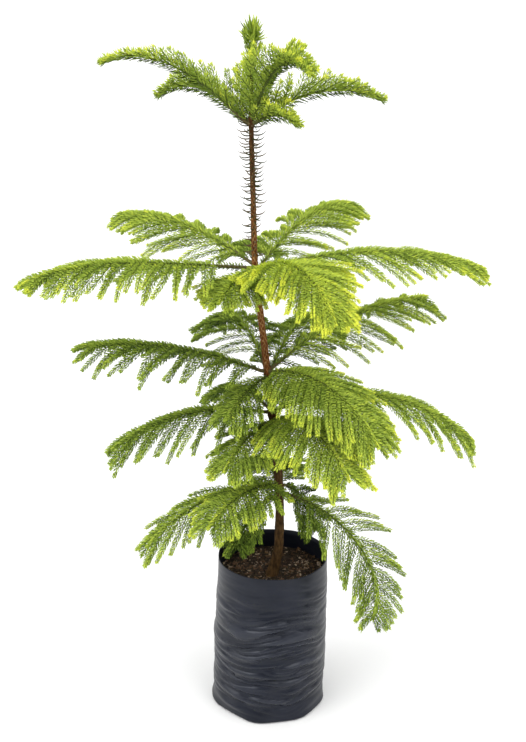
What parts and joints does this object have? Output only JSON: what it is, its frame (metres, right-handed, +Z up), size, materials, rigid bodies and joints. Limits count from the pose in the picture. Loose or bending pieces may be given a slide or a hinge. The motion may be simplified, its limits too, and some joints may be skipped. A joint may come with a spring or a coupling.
{
  "type": "potted araucaria",
  "caption": "Young araucaria with a slim leaning trunk, tiers of arching boughs with feathery needle foliage, rooted in a black film nursery bag.",
  "frame": {"origin": "centre of the flat underside of the bag, where it stands on the floor", "axes": "+Z up along the trunk, +X to the right and +Y away from the viewer in the picture"},
  "size_m": [0.7872, 0.5191, 1.2592],
  "materials": {
    "bag_film": "satin wrinkled black polythene film",
    "potting_bark": "loose damp potting bark",
    "trunk_bark": "rough brown scaly bark",
    "bough_bark": "green-brown young bark",
    "young_foliage": "bright yellow-green needles",
    "upper_foliage": "light green needles",
    "middle_foliage": "mid green needles",
    "lower_foliage": "deeper green needles"
  },
  "bodies": {
    "root": {"grow_bag": "bag_film", "leader_foliage": "young_foliage", "potting_soil": "potting_bark", "tier1_back_foliage": "young_foliage", "tier1_back_left_foliage": "young_foliage", "tier1_front_foliage": "young_foliage", "tier1_front_right_foliage": "young_foliage", "tier1_left_bough": "bough_bark", "tier1_left_foliage": "young_foliage", "tier1_right_bough": "bough_bark", "tier1_right_foliage": "young_foliage", "tier2_back_bough": "bough_bark", "tier2_back_foliage": "upper_foliage", "tier2_back_left_bough": "bough_bark", "tier2_back_left_foliage": "upper_foliage", "tier2_back_right_bough": "bough_bark", "tier2_back_right_foliage": "upper_foliage", "tier2_front_left_foliage": "upper_foliage", "tier2_front_right_bough": "bough_bark", "tier2_front_right_foliage": "upper_foliage", "tier2_left_bough": "bough_bark", "tier2_left_foliage": "upper_foliage", "tier2_right_bough": "bough_bark", "tier2_right_foliage": "upper_foliage", "tier3_back_left_bough": "bough_bark", "tier3_back_left_foliage": "middle_foliage", "tier3_back_right_bough": "bough_bark", "tier3_back_right_foliage": "middle_foliage", "tier3_front_left_bough": "bough_bark", "tier3_front_left_foliage": "middle_foliage", "tier3_front_right_bough": "bough_bark", "tier3_front_right_foliage": "middle_foliage", "tier3_left_bough": "bough_bark", "tier3_left_foliage": "middle_foliage", "tier3_right_bough": "bough_bark", "tier3_right_foliage": "middle_foliage", "tier4_back_left_bough": "bough_bark", "tier4_back_left_foliage": "lower_foliage", "tier4_back_right_bough": "bough_bark", "tier4_back_right_foliage": "lower_foliage", "tier4_front_bough": "bough_bark", "tier4_front_foliage": "lower_foliage", "tier4_front_left_bough": "bough_bark", "tier4_front_left_foliage": "lower_foliage", "tier4_left_bough": "bough_bark", "tier4_left_foliage": "lower_foliage", "tier4_right_bough": "bough_bark", "tier4_right_foliage": "lower_foliage", "tier5_back_foliage": "lower_foliage", "tier5_front_foliage": "lower_foliage", "tier5_front_left_bough": "bough_bark", "tier5_front_left_foliage": "lower_foliage", "tier5_front_right_bough": "bough_bark", "tier5_front_right_foliage": "lower_foliage", "tier5_left_bough": "bough_bark", "tier5_left_foliage": "lower_foliage", "tier5_right_bough": "bough_bark", "tier5_right_foliage": "lower_foliage", "trunk": "trunk_bark"}
  },
  "joints": []
}
